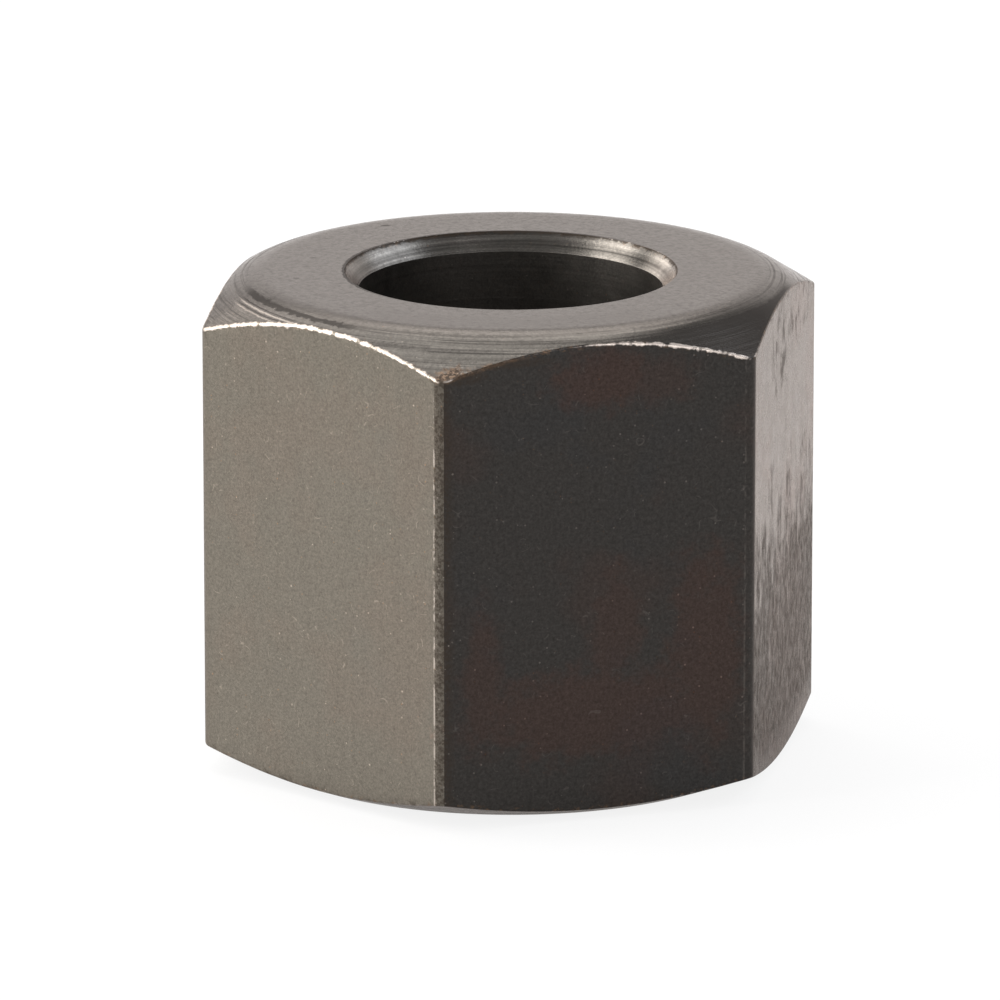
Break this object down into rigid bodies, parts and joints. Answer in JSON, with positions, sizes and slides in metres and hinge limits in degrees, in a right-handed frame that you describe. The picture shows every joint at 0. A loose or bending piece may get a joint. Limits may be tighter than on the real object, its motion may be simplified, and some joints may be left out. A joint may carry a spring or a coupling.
{
  "type": "collet nut",
  "caption": "Hexagonal collet nut with chamfered ends, a nose hole, an inner seating cone and a threaded socket.",
  "frame": {"origin": "centre of the threaded end's face, on the bore's axis, where the nut stands on a surface", "axes": "+Z runs along the bore from the threaded end to the nose; two of the six flats face -Y and +Y, and two corners lie on the X axis"},
  "size_m": [0.0276, 0.024, 0.0212],
  "materials": {
    "blackened_steel": "black oxide over turned and drawn steel, satin, worn bright along the edges"
  },
  "bodies": {
    "root": {"collet_nut": "blackened_steel"}
  },
  "joints": []
}
